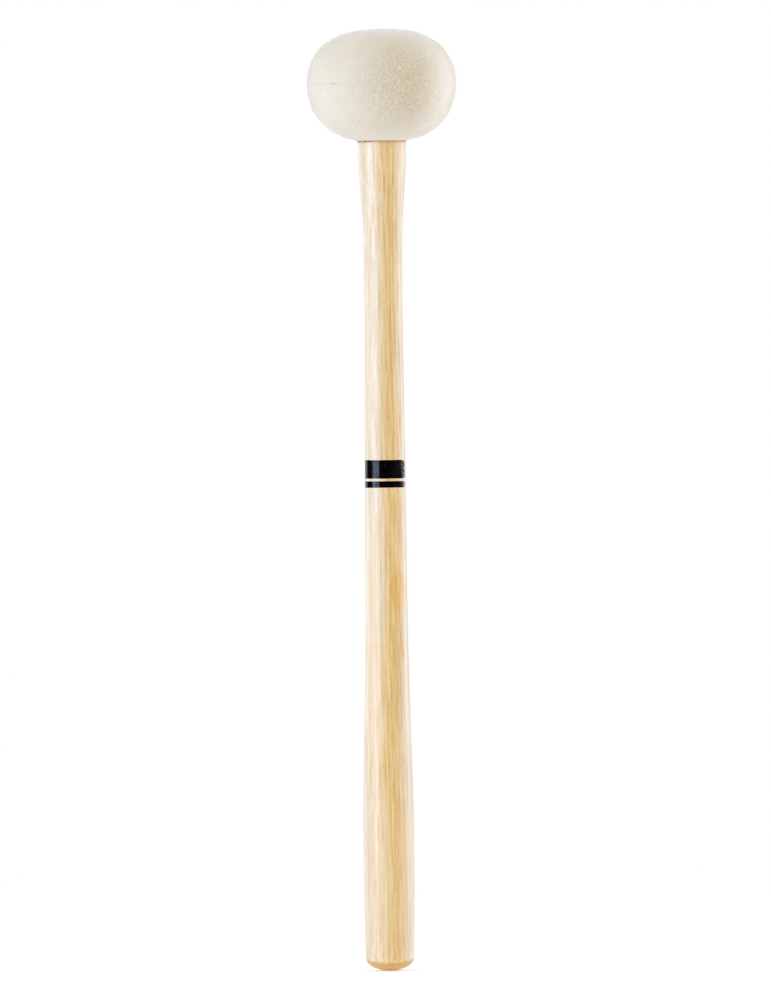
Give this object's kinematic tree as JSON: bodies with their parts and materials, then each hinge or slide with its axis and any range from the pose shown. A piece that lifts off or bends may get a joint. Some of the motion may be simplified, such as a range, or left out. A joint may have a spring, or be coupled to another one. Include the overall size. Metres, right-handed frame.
{
  "type": "bass drum beater",
  "caption": "Hand-held bass drum beater: a turned wooden shaft with a straight grip, slim waist, flared collar and dark bands, carrying an oval felt head glued on its tenon.",
  "frame": {"origin": "on the shaft's axis, at the middle of the straight stretch of the grip", "axes": "+Z along the shaft from the butt to the head; -Y is the side that the picture shows, with +X to its right"},
  "size_m": [0.0562, 0.0562, 0.3556],
  "materials": {
    "lacquered_wood": "satin",
    "pressed_felt": "matte",
    "dried_glue": "satin",
    "black_foil": "gloss"
  },
  "bodies": {
    "root": {"shaft": "lacquered_wood", "upper_felt_disc": "pressed_felt", "lower_felt_disc": "pressed_felt", "seam_glue": "dried_glue", "tenon_glue": "dried_glue", "shoulder_glue": "dried_glue", "narrow_band": "black_foil", "wide_band": "black_foil"}
  },
  "joints": []
}
